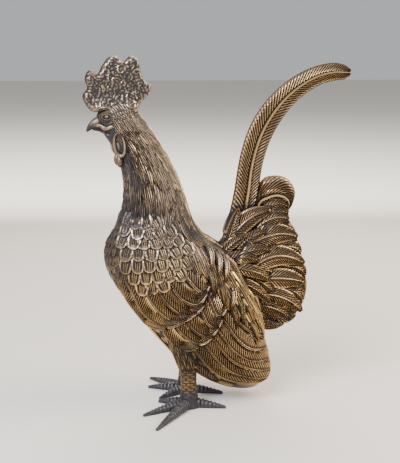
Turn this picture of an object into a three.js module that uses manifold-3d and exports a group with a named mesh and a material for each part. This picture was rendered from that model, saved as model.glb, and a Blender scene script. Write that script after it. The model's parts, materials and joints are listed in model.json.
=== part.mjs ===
// A cast bronze rooster that stands on its own two feet, head to -X, tail to +X, its left side to -Y.
// Millimetres, +Z up. The ground is Z = 0, and the origin is on it, under the middle of the bird.
// It is one casting, so every form below is joined into one closed solid.
import * as THREE from 'three';
import { mergeVertices } from 'three/addons/utils/BufferGeometryUtils.js';
import Module from 'manifold-3d';

// Driving sizes. The figure's forms are drawn for a bird 310 mm high and keep its proportions.
const figureHeight = 310;
const drawnHeight = 310;
const k = figureHeight / drawnHeight;

const featherRise = 1.7 * k; // how far a feather's edge stands above what it lies on
const shaftRise = 0.9 * k; // how far the shaft stands above the feather's edges
const featherRoot = 3 * k; // how deep a feather runs into the body
const fanRimHalfThickness = 3 * k; // tail fan at its rim
const fanRootHalfThickness = 21 * k; // tail fan where it leaves the body
const sickleHalfThickness = 4.6 * k; // the long curved tail feather, measured across its face
const curlHalfThickness = 5.6 * k; // the short curled tail feather
const combHalfThickness = 4.6 * k;
const combRounding = 2.4 * k; // how far the comb's edges are rounded off
const legRadius = 7.2 * k;
const toeRadius = 4.4 * k;
const padRadius = 10 * k;
const legSpread = 20 * k; // from the middle plane to each leg
const smallestStep = 0.35 * k; // facets that differ by less than this are joined

const wasm = await Module();
wasm.setup();

// Small helpers

const point = (x, z, y = 0) => new THREE.Vector3(x * k, y * k, z * k);
const radians = THREE.MathUtils.degToRad;
const mix = THREE.MathUtils.lerp;
const clamp = THREE.MathUtils.clamp;

// A list of values, one for each whole number below count.
const times = (count, make) => Array.from({ length: count }, (_, i) => make(i));

// A smooth curve through points, with equal steps from one point to the next.
function curveThrough(points, closed = false) {
  return new THREE.CatmullRomCurve3(points, closed, 'catmullrom', 0.5);
}

// A smooth curve through single values, read back by its share of the way.
function valuesThrough(values) {
  const curve = curveThrough(values.map((value, i) => new THREE.Vector3(value * k, i, 0)));
  return (share) => curve.getPoint(clamp(share, 0, 1)).x;
}

// Any closed triangle mesh as a solid with its faces pointing out.
function solid(geometry) {
  geometry.deleteAttribute('normal');
  geometry.deleteAttribute('uv');
  const merged = mergeVertices(geometry, 1e-4);
  const vertProperties = merged.attributes.position.array;
  const triVerts = new Uint32Array(merged.index.array);
  const [a, b, c] = [new THREE.Vector3(), new THREE.Vector3(), new THREE.Vector3()];
  let volume = 0;
  for (let i = 0; i < triVerts.length; i += 3) {
    a.fromArray(vertProperties, triVerts[i] * 3);
    b.fromArray(vertProperties, triVerts[i + 1] * 3);
    c.fromArray(vertProperties, triVerts[i + 2] * 3);
    volume += a.dot(b.cross(c));
  }
  if (volume < 0) {
    for (let i = 0; i < triVerts.length; i += 3) {
      [triVerts[i + 1], triVerts[i + 2]] = [triVerts[i + 2], triVerts[i + 1]];
    }
  }
  return new wasm.Manifold(new wasm.Mesh({ numProp: 3, vertProperties, triVerts }));
}

// A closed skin over rings that all have the same number of points, with a cap on each end.
function loft(rings) {
  const around = rings[0].length;
  const positions = rings.flat().flatMap((p) => [p.x, p.y, p.z]);
  const index = [];
  for (let r = 0; r + 1 < rings.length; r++) {
    for (let i = 0; i < around; i++) {
      const [a, b] = [r * around + i, r * around + ((i + 1) % around)];
      index.push(a, b, b + around, a, b + around, a + around);
    }
  }
  for (const [ring, flip] of [[rings[0], true], [rings[rings.length - 1], false]]) {
    const centre = positions.length / 3;
    const first = flip ? 0 : (rings.length - 1) * around;
    const middle = ring.reduce((sum, p) => sum.add(p), new THREE.Vector3()).divideScalar(around);
    positions.push(...middle.toArray());
    for (let i = 0; i < around; i++) {
      const [a, b] = [first + i, first + ((i + 1) % around)];
      index.push(centre, flip ? b : a, flip ? a : b);
    }
  }
  const geometry = new THREE.BufferGeometry();
  geometry.setAttribute('position', new THREE.Float32BufferAttribute(positions, 3));
  geometry.setIndex(index);
  return solid(geometry);
}

// Body, neck and head: one skin through stations from the wing tips up to the crown.
// Each station has its front or lower edge, its back or upper edge, and its half width.

const stations = [
  { front: [69, 15], back: [73, 21], half: 9 },
  { front: [57, 9], back: [74, 34], half: 20 },
  { front: [43, 9], back: [70, 52], half: 28 },
  { front: [27, 15], back: [64, 74], half: 33 },
  { front: [9, 25], back: [59, 95], half: 36 },
  { front: [-10, 41], back: [51, 114], half: 38 },
  { front: [-30, 63], back: [42, 130], half: 39 },
  { front: [-49, 87], back: [33, 140], half: 39 },
  { front: [-66, 110], back: [25, 146], half: 38 },
  { front: [-75, 130], back: [17, 151], half: 36 },
  { front: [-74, 148], back: [8, 158], half: 32 },
  { front: [-65, 164], back: [1, 170], half: 28 },
  { front: [-59, 183], back: [-5, 189], half: 25 },
  { front: [-58, 203], back: [-13, 210], half: 22.5 },
  { front: [-61, 219], back: [-23, 229], half: 19.5 },
  { front: [-66, 231], back: [-33, 245], half: 17 },
  { front: [-74, 243], back: [-41, 256], half: 14.5 },
  { front: [-79, 253], back: [-47, 265], half: 12.5 },
  { front: [-79, 262], back: [-54, 271], half: 9 },
  { front: [-73, 268], back: [-63, 271], half: 4 },
];
const frontCurve = curveThrough(stations.map((s) => point(...s.front)));
const backCurve = curveThrough(stations.map((s) => point(...s.back)));
const halfWidthAt = valuesThrough(stations.map((s) => s.half));

// A point of the skin: u runs from the wing tips to the crown, v round the section from the front,
// with the bird's left side at negative v.
function skin(u, v) {
  const front = frontCurve.getPoint(clamp(u, 0, 1));
  const back = backCurve.getPoint(clamp(u, 0, 1));
  const centre = front.clone().add(back).multiplyScalar(0.5);
  const reach = front.sub(back).multiplyScalar(0.5);
  return centre.addScaledVector(reach, Math.cos(v)).setY(halfWidthAt(u) * Math.sin(v));
}

// The skin's two tangents and its outward normal.
function skinFrame(u, v) {
  const step = 1e-3;
  const alongU = skin(u + step, v).sub(skin(u - step, v)).divideScalar(2 * step);
  const alongV = skin(u, v + step).sub(skin(u, v - step)).divideScalar(2 * step);
  const up = new THREE.Vector3().crossVectors(alongU, alongV).normalize();
  const opposite = skin(u, v + Math.PI);
  if (up.dot(skin(u, v).sub(opposite)) < 0) up.negate();
  return { alongU, alongV, up };
}

// Where a spot of the side view lies on the skin, on the left for side = -1 or the right for 1.
// A spot past the wing's tip goes to the tip.
function spotOnSkin(x, z, side) {
  const spot = point(x, z);
  const samples = 200;
  const found = times(samples, (i) => {
    const u = i / samples;
    const front = frontCurve.getPoint(u);
    const back = backCurve.getPoint(u);
    const centre = front.clone().add(back).multiplyScalar(0.5);
    const reach = front.clone().sub(back).multiplyScalar(0.5);
    const away = spot.clone().sub(centre);
    const share = away.dot(reach) / reach.lengthSq();
    return { u, share, miss: away.addScaledVector(reach, -clamp(share, -1, 1)).length() };
  });
  const { u, share } = found.reduce((best, spotHere) => (spotHere.miss < best.miss ? spotHere : best));
  return { u, v: side * Math.acos(clamp(share, -0.98, 0.98)) };
}

// The skin place reached from (u, v) by going a distance along a direction in the tangent plane.
function moved(u, v, alongU, alongV, way, distance) {
  const [uu, uv, vv] = [alongU.dot(alongU), alongU.dot(alongV), alongV.dot(alongV)];
  const [wu, wv] = [way.dot(alongU), way.dot(alongV)];
  const det = uu * vv - uv * uv || 1;
  return [
    u + (distance * (wu * vv - wv * uv)) / det,
    v + (distance * (wv * uu - wu * uv)) / det,
  ];
}

// A path over the skin from a spot, along a side-view angle that turns as it goes.
// Each row of it places a point at any offset across the path.
function skinPath(start, angle, turn, length, rows) {
  const substeps = 5;
  const last = (rows - 1) * substeps;
  let { u, v } = start;
  const path = [];
  for (let step = 0; step <= last; step++) {
    const heading = radians(angle + (turn * step) / last);
    const { alongU, alongV, up } = skinFrame(u, v);
    const way = new THREE.Vector3(Math.cos(heading), 0, Math.sin(heading));
    way.addScaledVector(up, -way.dot(up)).normalize();
    if (step % substeps === 0) {
      const across = new THREE.Vector3().crossVectors(up, way);
      const [hereU, hereV] = [u, v];
      path.push((offset) => {
        const [pu, pv] = moved(hereU, hereV, alongU, alongV, across, offset);
        return { p: skin(pu, pv), up: skinFrame(pu, pv).up };
      });
    }
    [u, v] = moved(u, v, alongU, alongV, way, length / last);
  }
  return path;
}

// A path over the skin along a line drawn in the side view, set in from that line by a distance.
function skinPathAlong(line, side, inset, rows) {
  const curve = curveThrough(line.map(([x, z]) => new THREE.Vector3(x, 0, z)));
  const spotAt = (share) => {
    const spot = curve.getPoint(clamp(share, 0, 1));
    return spotOnSkin(spot.x, spot.z, side);
  };
  const step = 0.04;
  return times(rows, (row) => {
    const share = row / (rows - 1);
    const { u, v } = spotAt(share);
    const [before, after] = [spotAt(share - step), spotAt(share + step)];
    const { alongU, alongV, up } = skinFrame(u, v);
    const way = skin(after.u, after.v).sub(skin(before.u, before.v));
    way.addScaledVector(up, -way.dot(up)).normalize();
    const across = new THREE.Vector3().crossVectors(up, way);
    return (offset) => {
      const [pu, pv] = moved(u, v, alongU, alongV, across, offset + inset);
      return { p: skin(pu, pv), up: skinFrame(pu, pv).up };
    };
  });
}

// Feathers

// Half width of a feather along its length, from 0 at the root to 1 at the tip.
const leaf = (t) => Math.pow(Math.sin(Math.PI * mix(0.22, 0.975, t)), 0.6);
const lance = (t) => Math.sin(Math.PI * mix(0.28, 0.97, t));
const band = (t) => {
  const rounded = 1 - Math.pow(Math.max(0, (t - 0.72) / 0.3), 2);
  return Math.min(1, mix(0.7, 1, t * 1.5)) * Math.sqrt(Math.max(0.06, rounded));
};
const tongue = (t) => Math.sqrt(Math.max(0.05, 1 - Math.pow(Math.max(0, (t - 0.4) / 0.62), 2)));

// A feather is a raised blade: two sloping vanes that meet in a shaft, over a root sunk in the body.
// Its left and right edges may be sunk, so that they slip under the next feather.
function feather(path, { width, outline, rise = featherRise, root = featherRoot, sunk = [0, 0] }) {
  const last = path.length - 1;
  return loft(
    path.map((at, row) => {
      const t = row / last;
      const half = (width / 2) * outline(t);
      const lift = mix(0.1, 1, Math.min(1, t * 1.6)) * rise;
      const [left, right, middle] = [at(-half), at(half), at(0)];
      return [
        left.p.clone().addScaledVector(left.up, lift - sunk[0]),
        middle.p.clone().addScaledVector(middle.up, lift + shaftRise * mix(1, 0.4, t)),
        right.p.clone().addScaledVector(right.up, lift - sunk[1]),
        right.p.clone().addScaledVector(right.up, -root),
        left.p.clone().addScaledVector(left.up, -root),
      ];
    }),
  );
}

function body() {
  const [rings, around] = [24, 16];
  return loft(times(rings + 1, (r) => times(around, (i) => skin(r / rings, (2 * Math.PI * i) / around))));
}

// The hackle: rows of long pointed feathers that run down the neck and end in a ragged hem.
function hackle(side) {
  const rows = [
    { u: 0.83, count: 3, length: 36, width: 15 },
    { u: 0.74, count: 4, length: 38, width: 18 },
    { u: 0.655, count: 4, length: 36, width: 21 },
  ];
  const [frontEdge, backEdge] = [46, 168];
  return rows.flatMap(({ u, count, length, width }, row) =>
    times(count, (i) => {
      const share = (i + (row % 2) * 0.4) / (count - 0.6);
      const v = side * radians(mix(frontEdge, backEdge, share));
      const path = skinPath({ u, v }, mix(-86, -60, share), 0, length * k, 4);
      return feather(path, { width: width * k, outline: lance });
    }),
  );
}

// The shoulder: rows of round-ended scale feathers that hang like tiles.
// Each row has its first and its last tip.
function shoulder(side) {
  const rows = [
    { first: [-55, 166], last: [-28, 162], count: 3 },
    { first: [-60, 152], last: [-17, 151], count: 4 },
    { first: [-62, 138], last: [-8, 142], count: 5 },
    { first: [-61, 124], last: [-6, 129], count: 5 },
    { first: [-51, 109], last: [-20, 115], count: 4 },
  ];
  const [length, width] = [19, 15];
  return rows.flatMap(({ first, last, count }, row) =>
    times(count, (i) => {
      const share = (i + (row % 2) * 0.25) / (count - 0.75);
      const angle = mix(-100, -62, share);
      const x = mix(first[0], last[0], share) - length * Math.cos(radians(angle));
      const z = mix(first[1], last[1], share) - length * Math.sin(radians(angle));
      const path = skinPath(spotOnSkin(x, z, side), angle, 0, length * k, 4);
      return feather(path, { width: width * k, outline: tongue });
    }),
  );
}

// The wing: a ridge down its front, flight feathers that sweep round its tip, and two tiers of coverts.
// Each line is a feather's lower edge in the side view, from its root to its tip.
function wing(side) {
  const tierLift = 0.35; // each tier stands higher than the one below it
  const tiers = [
    [
      [[12, 107], [27, 89], [40, 74], [53, 65], [71, 54.5]],
      [[7, 88], [19, 69], [29.5, 55], [45, 43], [68, 37]],
      [[-4, 76], [12, 59], [25, 44], [42, 33], [74, 24]],
      [[-14, 70], [-2, 54], [12, 37], [30, 24], [62, 16.5]],
      [[-22, 58], [-11, 47], [3, 33], [22, 18], [45, 10]],
    ],
    [
      [[-45, 98], [-34, 81], [-22, 64], [-10, 54], [4.5, 55]],
      [[-34, 97], [-23, 83], [-11, 69], [2, 61], [15.5, 64]],
      [[-18, 96], [-8, 84], [1, 74], [12, 70], [23, 76]],
      [[-2, 108], [5, 95], [12, 84], [18, 79], [27, 85]],
    ],
    [
      [[-68, 121], [-61, 107], [-52, 90], [-38, 76], [-24, 71]],
      [[-66, 124], [-56, 109], [-43, 88], [-26, 77], [-7.5, 80.5]],
      [[-56, 126], [-43, 108], [-30, 93], [-14, 83], [2, 88]],
      [[-36, 126], [-25, 113], [-15, 102], [-1, 96], [11, 104]],
    ],
  ];
  const [width, rows] = [15 * k, 6];
  const upperEdgeSunk = 1.8 * k;
  const sunk = side > 0 ? [upperEdgeSunk, 0] : [0, upperEdgeSunk];
  const ridgeLine = [[-68, 133], [-63, 111], [-48, 85], [-32, 66.5], [-17, 50]];
  const ridge = feather(skinPathAlong(ridgeLine, side, 0, rows), { width: 7 * k, outline: leaf });
  const feathers = tiers.flatMap((lines, tier) =>
    lines.map((line) => {
      const path = skinPathAlong(line, side, (-side * width) / 2, rows);
      return feather(path, { width, outline: band, rise: featherRise * (1 + tierLift * tier), sunk });
    }),
  );
  return [ridge, ...feathers];
}

// The saddle: narrow locks that fall from the back over the rump.
function saddle(side) {
  const locks = 3;
  return times(locks, (i) => {
    const share = i / (locks - 1);
    const start = spotOnSkin(mix(16, 42, share), mix(140, 122, share), side);
    const path = skinPath(start, mix(-82, -66, share), 10, 46 * k, 4);
    return feather(path, { width: 11 * k, outline: lance, rise: featherRise * 1.3 });
  });
}

// The tail fan: an upright plate, thick at its root, with three rings of feathers on each face.

const fanCentre = point(38, 126);
const [fanLow, fanHigh] = [-65, 55];
const fanReachShare = valuesThrough([70, 77, 80, 77, 69, 66, 65, 66, 60]);
const fanReachAt = (angle) => fanReachShare((angle - fanLow) / (fanHigh - fanLow));

function fanPoint(angle, reach) {
  return new THREE.Vector3(Math.cos(radians(angle)), 0, Math.sin(radians(angle)))
    .multiplyScalar(reach)
    .add(fanCentre);
}

// The fan's half thickness at a place of the side view.
function fanHalfAt(p) {
  const distance = Math.hypot(p.x - fanCentre.x, p.z - fanCentre.z);
  const share = clamp(distance / (70 * k), 0, 1);
  // It is thinner where the long curved feather stands on it.
  const byStem = clamp((p.z / k - 134) / 14, 0, 1) * clamp((64 - p.x / k) / 16, 0, 1);
  return mix(fanRootHalfThickness, fanRimHalfThickness, Math.pow(share, 0.8)) * mix(1, 0.5, byStem);
}

function fanPlate() {
  const [spokes, hoops] = [12, 4];
  const angles = times(spokes + 1, (i) => mix(fanLow, fanHigh, i / spokes));
  const onFace = (p, side) => p.clone().setY(side * fanHalfAt(p));
  return loft(
    angles.map((angle) => {
      const spoke = times(hoops + 1, (h) => fanPoint(angle, (fanReachAt(angle) * h) / hoops));
      const near = spoke.map((p) => onFace(p, -1));
      const far = spoke.map((p) => onFace(p, 1)).reverse();
      return [...near, ...far];
    }),
  );
}

// A path over one face of the fan, from a root through a middle to a tip.
function fanPath([root, between, tip], rows, side, lift) {
  const control = between.clone().multiplyScalar(2).addScaledVector(root, -0.5).addScaledVector(tip, -0.5);
  const line = new THREE.QuadraticBezierCurve3(root, control, tip);
  return times(rows, (row) => {
    const here = line.getPoint(row / (rows - 1));
    const way = line.getTangent(row / (rows - 1));
    const across = new THREE.Vector3(-way.z, 0, way.x);
    return (offset) => {
      const p = here.clone().addScaledVector(across, offset);
      return { p: p.setY(side * (fanHalfAt(p) + lift)), up: new THREE.Vector3(0, side, 0) };
    };
  });
}

function tailFeathers(side) {
  const farShift = side > 0 ? point(0.6, 0.5) : point(0, 0); // the two faces don't quite mirror each other
  const overlap = 1.5 * k; // how far a feather's root passes the middle plane
  // Root, middle and tip in the side view, width, and how far it stands off the plate.
  const drawn = [
    { line: [[38, 151.5], [53, 167], [73.5, 174]], width: 18, lift: 2.6 },
    { line: [[34, 149], [39.5, 163], [44, 176.5]], width: 9, lift: 3 },
    { line: [[28, 136.5], [38, 146], [49.5, 151.5]], width: 10, lift: 3.2 },
    { line: [[42, 140], [55, 150.5], [68.5, 155]], width: 10, lift: 2.4 },
    { line: [[43.5, 135.5], [57.5, 140], [71, 139.5]], width: 11, lift: 2.6 },
    { line: [[30.5, 130], [45.5, 134], [60, 130]], width: 11, lift: 3 },
    { line: [[54, 143.5], [76.5, 152.5], [99.5, 148.5]], width: 20, lift: 1 },
    { line: [[61, 158.5], [77, 167], [91.5, 164.5]], width: 16, lift: 0.6 },
    { line: [[54.5, 123], [79, 133], [106, 123.5]], width: 20, lift: 1.2 },
    { line: [[38.5, 124.5], [57, 120.5], [71, 111.5]], width: 12, lift: 3 },
    { line: [[41, 113], [58, 104], [72, 92]], width: 12, lift: 2.6 },
    { line: [[66.5, 112.5], [88.5, 111], [106.5, 106]], width: 19, lift: 1 },
    { line: [[65, 98], [88, 92], [105, 78.5]], width: 17, lift: 0.8 },
    { line: [[55, 88], [76, 84], [95, 72]], width: 15, lift: 0.4 },
    { line: [[50, 77], [64.5, 70.5], [81, 64]], width: 12, lift: 0 },
  ];
  return drawn.map(({ line, width, lift }) => {
    const spots = line.map(([x, z]) => point(x, z).add(farShift));
    const path = fanPath(spots, 5, side, lift * k);
    return feather(path, { width: width * k, outline: leaf, root: fanRimHalfThickness + lift * k + overlap });
  });
}

// The two upright tail feathers: one section swept between an outer and an inner edge.

const sickleEdges = [
  [[20, 124], [58, 118]],
  [[29, 146], [60, 150]],
  [[36, 168], [62, 172]],
  [[41, 190], [64.5, 190]],
  [[44, 209], [66, 205]],
  [[48, 228], [69, 220]],
  [[55, 248], [75, 237]],
  [[66, 266], [84, 253]],
  [[81, 282], [96, 268]],
  [[98, 294], [109, 278.5]],
  [[115, 301.5], [122, 285.5]],
  [[131, 304.5], [134, 288.5]],
  [[142, 303], [143, 289.5]],
  [[148.5, 299], [148, 293]],
];
const curledEdges = [
  [[48, 160], [60, 160]],
  [[54, 183], [61.5, 171]],
  [[62, 198], [65, 176]],
  [[69.5, 203], [70, 178]],
  [[79, 203.5], [76, 179]],
  [[89, 201.5], [82, 178]],
  [[96, 195.5], [87, 176]],
  [[98.5, 187.5], [89.5, 173]],
  [[96.5, 179], [90, 169]],
  [[93, 172], [89, 165]],
];

// A blade whose shaft stands out on both faces between two sloping vanes.
function blade(edges, steps, halfThickness) {
  const outer = curveThrough(edges.map(([edge]) => point(...edge)));
  const inner = curveThrough(edges.map(([, edge]) => point(...edge)));
  const face = [[0.04, 0.6], [0.44, 0.72], [0.52, 1], [0.6, 0.72], [0.97, 0.4]];
  return loft(
    times(steps + 1, (i) => {
      const [a, b] = [outer.getPoint(i / steps), inner.getPoint(i / steps)];
      const thick = halfThickness * mix(1.25, 0.6, i / steps);
      const spot = (share, away) => a.clone().lerp(b, share).setY(away);
      const at = (side) => face.map(([share, height]) => spot(share, side * thick * height));
      return [a, ...at(1), ...at(-1).reverse()];
    }),
  );
}

// The web that fills the hollow under the curled feather.
function web() {
  const low = curveThrough([point(58, 158), point(75, 160), point(92, 163)]);
  const high = curveThrough([point(58, 184), point(76, 184), point(92, 178)]);
  const [steps, half] = [6, 3 * k];
  return loft(
    times(steps + 1, (i) => {
      const [foot, top] = [low.getPoint(i / steps), high.getPoint(i / steps)];
      const at = (p, side) => p.clone().setY(side * half);
      return [at(foot, -1), at(top, -1), at(top, 1), at(foot, 1)];
    }),
  );
}

// Head

function beak() {
  const [steps, around] = [4, 8];
  const line = new THREE.QuadraticBezierCurve3(point(-70, 254), point(-84, 255), point(-89, 246));
  return loft(
    times(steps + 1, (i) => {
      const t = i / steps;
      const way = line.getTangent(t);
      const above = new THREE.Vector3(way.z, 0, -way.x);
      const size = mix(8, 0.8, Math.pow(t, 0.8)) * k;
      return times(around, (j) => {
        const turn = (2 * Math.PI * j) / around;
        const p = line.getPoint(t).addScaledVector(above, size * Math.cos(turn));
        return p.setY(0.8 * size * Math.sin(turn));
      });
    }),
  );
}

function comb() {
  const outline = [
    [-74, 262], [-84, 263], [-90, 270], [-92, 277], [-88, 283], [-90, 291], [-86, 298], [-79, 295],
    [-75, 302], [-69, 309], [-62, 310], [-57, 305], [-51, 310], [-44, 307], [-42, 298], [-39, 290],
    [-33, 285], [-34, 278], [-42, 270], [-46, 261], [-60, 256],
  ];
  const edge = curveThrough(outline.map(([x, z]) => point(x, z)), true).getPoints(2 * outline.length);
  const shape = new THREE.Shape(edge.slice(1).map((p) => new THREE.Vector2(p.x, p.z)));
  const geometry = new THREE.ExtrudeGeometry(shape, {
    depth: 2 * (combHalfThickness - combRounding),
    bevelThickness: combRounding,
    bevelSize: combRounding,
    bevelOffset: -combRounding,
    bevelSegments: 2,
  });
  geometry.rotateX(Math.PI / 2);
  geometry.translate(0, combHalfThickness - combRounding, 0);
  return solid(geometry);
}

// A stretched ball, turned in the side view.
function knob(centre, size, tilt) {
  const [around, down] = [10, 6];
  const geometry = new THREE.SphereGeometry(k, around, down);
  geometry.rotateX(Math.PI / 2);
  geometry.scale(...size);
  geometry.rotateY(radians(tilt));
  geometry.translate(...point(...centre).toArray());
  return solid(geometry);
}

function faceForms(side) {
  const eye = knob([-73, 259, side * 10.2], [4.2, 2.8, 3.8], 0);
  const cheek = knob([-71, 250, side * 10.5], [7.5, 3.4, 3.4], 14);
  const wattle = knob([-63, 235, side * 9.5], [5.6, 3.8, 10.5], 8);
  const earLobe = knob([-58, 246, side * 12.5], [4.2, 3, 4.6], 10);
  return [eye, cheek, wattle, earLobe];
}

// Legs and feet. A toe's tip is where it touches the ground, as X and Y.

const feet = [
  { side: -1, centre: [-4, -legSpread / k], tips: [[-48, -37], [-42, -72], [-29, -4], [27, -32]] },
  { side: 1, centre: [1, legSpread / k], tips: [[-32, 37], [-27, 3], [-26, 62], [33, 6]] },
];

function leg({ side, centre: [x, y] }) {
  const around = 10;
  // Height and radius: the lowest is below the ground, so that the sole is cut flat.
  const profile = [
    [-6, padRadius], [3, padRadius * 0.92], [10, legRadius * 1.12], [20, legRadius], [32, legRadius * 1.04],
    [42, legRadius * 1.22], [52, legRadius * 1.46], [72, legRadius * 1.67],
  ];
  const [leanFrom, lean, thighSpread] = [34, 0.25, 14]; // the thigh leans forward and in under the body
  return loft(
    profile.map(([height, radius]) => {
      const inward = clamp((height - 10) / 40, 0, 1);
      const forward = lean * Math.max(0, height - leanFrom);
      const centre = point(x - forward, height, mix(y, side * thighSpread, inward));
      return times(around, (j) => {
        const turn = (2 * Math.PI * j) / around;
        return new THREE.Vector3(Math.cos(turn), Math.sin(turn), 0).multiplyScalar(radius).add(centre);
      });
    }),
  );
}

function toe([x, y], [tipX, tipY]) {
  const [steps, around] = [5, 8];
  const [from, to] = [point(x, 0, y), point(tipX, 0, tipY)];
  const way = to.clone().sub(from).normalize();
  const across = new THREE.Vector3(-way.y, way.x, 0);
  return loft(
    times(steps + 1, (i) => {
      const t = i / steps;
      const size = toeRadius * mix(1.15, 0.22, Math.pow(t, 1.3));
      const centre = from.clone().lerp(to, t).setZ(size * mix(0.75, 0.9, t));
      return times(around, (j) => {
        const turn = (2 * Math.PI * j) / around;
        const p = centre.clone().addScaledVector(across, size * Math.cos(turn));
        return p.setZ(p.z + size * Math.sin(turn));
      });
    }),
  );
}

const featherForms = [hackle, shoulder, wing, saddle, tailFeathers, faceForms];
const forms = [
  body(),
  fanPlate(),
  blade(sickleEdges, 18, sickleHalfThickness),
  blade(curledEdges, 9, curlHalfThickness),
  web(),
  beak(),
  comb(),
  ...featherForms.flatMap((make) => [-1, 1].flatMap((side) => make(side))),
  ...feet.flatMap((foot) => [leg(foot), ...foot.tips.map((tip) => toe(foot.centre, tip))]),
];

// One casting, cut flat where it stands.
const [groundReach, groundDepth] = [4 * figureHeight, figureHeight / 3];
const groundBlock = new THREE.BoxGeometry(groundReach, groundReach, groundDepth);
const ground = solid(groundBlock.translate(0, 0, -groundDepth / 2));
const joined = wasm.Manifold.union(forms).asOriginal().simplify(smallestStep);
const casting = joined.subtract(ground).getMesh();

const geometry = new THREE.BufferGeometry();
geometry.setAttribute('position', new THREE.BufferAttribute(casting.vertProperties, 3));
geometry.setIndex(new THREE.BufferAttribute(casting.triVerts, 1));

// The origin goes under the middle of the bird's own box.
geometry.computeBoundingBox();
const middle = geometry.boundingBox.getCenter(new THREE.Vector3());
geometry.translate(-middle.x, -middle.y, 0);

const agedBronze = new THREE.MeshStandardMaterial({ color: 0x6e5a3f, metalness: 0.9, roughness: 0.45 });
const rooster = new THREE.Mesh(geometry, agedBronze);
rooster.name = 'rooster';
const part = new THREE.Group();
part.add(rooster);
export default part;
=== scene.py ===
import json
import math

import bmesh
import bpy
import numpy as np
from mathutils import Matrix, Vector
from mathutils.geometry import delaunay_2d_cdt

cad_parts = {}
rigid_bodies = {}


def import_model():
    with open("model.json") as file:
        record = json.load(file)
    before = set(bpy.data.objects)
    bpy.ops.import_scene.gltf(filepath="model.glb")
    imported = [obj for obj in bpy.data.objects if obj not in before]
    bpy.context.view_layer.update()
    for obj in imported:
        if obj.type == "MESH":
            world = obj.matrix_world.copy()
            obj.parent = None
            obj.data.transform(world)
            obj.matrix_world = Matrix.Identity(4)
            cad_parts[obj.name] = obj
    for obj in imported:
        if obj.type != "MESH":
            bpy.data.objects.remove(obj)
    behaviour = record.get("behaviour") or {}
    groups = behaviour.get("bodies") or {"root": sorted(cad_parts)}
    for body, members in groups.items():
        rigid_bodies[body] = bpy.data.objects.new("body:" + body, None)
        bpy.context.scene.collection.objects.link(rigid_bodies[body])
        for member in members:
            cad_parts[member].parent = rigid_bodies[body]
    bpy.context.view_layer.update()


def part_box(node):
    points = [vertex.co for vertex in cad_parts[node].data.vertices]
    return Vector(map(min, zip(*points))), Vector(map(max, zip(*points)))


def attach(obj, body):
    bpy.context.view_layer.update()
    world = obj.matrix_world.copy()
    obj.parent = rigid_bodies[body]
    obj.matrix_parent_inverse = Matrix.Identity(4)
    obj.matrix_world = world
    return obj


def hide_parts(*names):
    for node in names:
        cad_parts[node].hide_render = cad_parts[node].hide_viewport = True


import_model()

# The rooster is drawn in millimetres on its middle plane, with the ground at z = 0, head to -x.
# "side" is -1 for its left and 1 for its right. Every form is a closed shell, and at the end they
# are all joined into one casting.
drawing = {
    "tall": 310.25,
    "middle": (28.25, -5.02),  # the middle of its box, which the frame puts at the origin
}
lowCorner, highCorner = (np.array(corner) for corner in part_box("rooster"))
unit = (highCorner[2] - lowCorner[2]) / drawing["tall"]  # metres to a drawn millimetre

rng = np.random.default_rng(7)
shells = []  # every closed form of the casting, as (points, triangles)


# curves and small helpers

def smoothCurve(points, closed=False):
    # a smooth curve through points, read at shares of its way from 0 to 1
    knots = np.array(points, float)
    if closed:
        knots = np.vstack([knots[-1], knots, knots[:2]])
    else:
        knots = np.vstack([2 * knots[0] - knots[1], knots, 2 * knots[-1] - knots[-2]])
    spans = len(knots) - 3

    def at(share):
        place = clamped(np.asarray(share, float)) * spans
        first = np.minimum(place.astype(int), spans - 1)
        w = (place - first)[..., None]
        a, b, c, d = (knots[first + j] for j in range(4))
        slopeB, slopeC = 0.5 * (c - a), 0.5 * (d - b)
        bend = 3 * (c - b) - 2 * slopeB - slopeC
        return b + slopeB * w + bend * w ** 2 + (2 * (b - c) + slopeB + slopeC) * w ** 3

    return at


def mix(a, b, share):
    return a + (b - a) * share


def clamped(value):
    return np.clip(value, 0, 1)


def unitVectors(v):
    return v / np.maximum(np.linalg.norm(v, axis=-1, keepdims=True), 1e-9)


def dot(a, b):
    return np.sum(a * b, axis=-1)


def roundTurns(count):
    return np.linspace(0, 2 * np.pi, count, endpoint=False)


def addShell(rings, looped=False):
    # rings: an array (rows, around, 3) of a section swept along, looped or capped at both ends
    rings = np.asarray(rings, float)
    rows, around = rings.shape[:2]
    r, i = np.meshgrid(np.arange(rows if looped else rows - 1), np.arange(around), indexing="ij")
    here, there = (r * around).ravel(), ((r + 1) % rows * around).ravel()
    i, j = i.ravel(), ((i + 1) % around).ravel()
    walls = [np.stack([here + i, here + j, there + j], 1), np.stack([here + i, there + j, there + i], 1)]
    if looped:
        addTriangles(rings.reshape(-1, 3), np.vstack(walls))
        return
    i, j, last = i[:around], j[:around], (rows - 1) * around
    foot = np.stack([np.full(around, rows * around), j, i], 1)
    head = np.stack([np.full(around, rows * around + 1), last + i, last + j], 1)
    points = np.vstack([rings.reshape(-1, 3), rings[0].mean(0), rings[-1].mean(0)])
    addTriangles(points, np.vstack(walls + [foot, head]))


def addPlate(flat, half):
    # a plate drawn in the side view, with its own half width at every point
    left, right = (np.stack([flat[..., 0], side * half, flat[..., 1]], -1) for side in (-1, 1))
    addShell(np.concatenate([left, right[:, ::-1]], axis=1))


def addTriangles(points, triangles):
    a, b, c = (points[triangles[:, j]] for j in range(3))
    if np.sum(dot(a, np.cross(b, c))) < 0:  # every shell's faces point out
        triangles = triangles[:, ::-1]
    shells.append((points, triangles))


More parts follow.
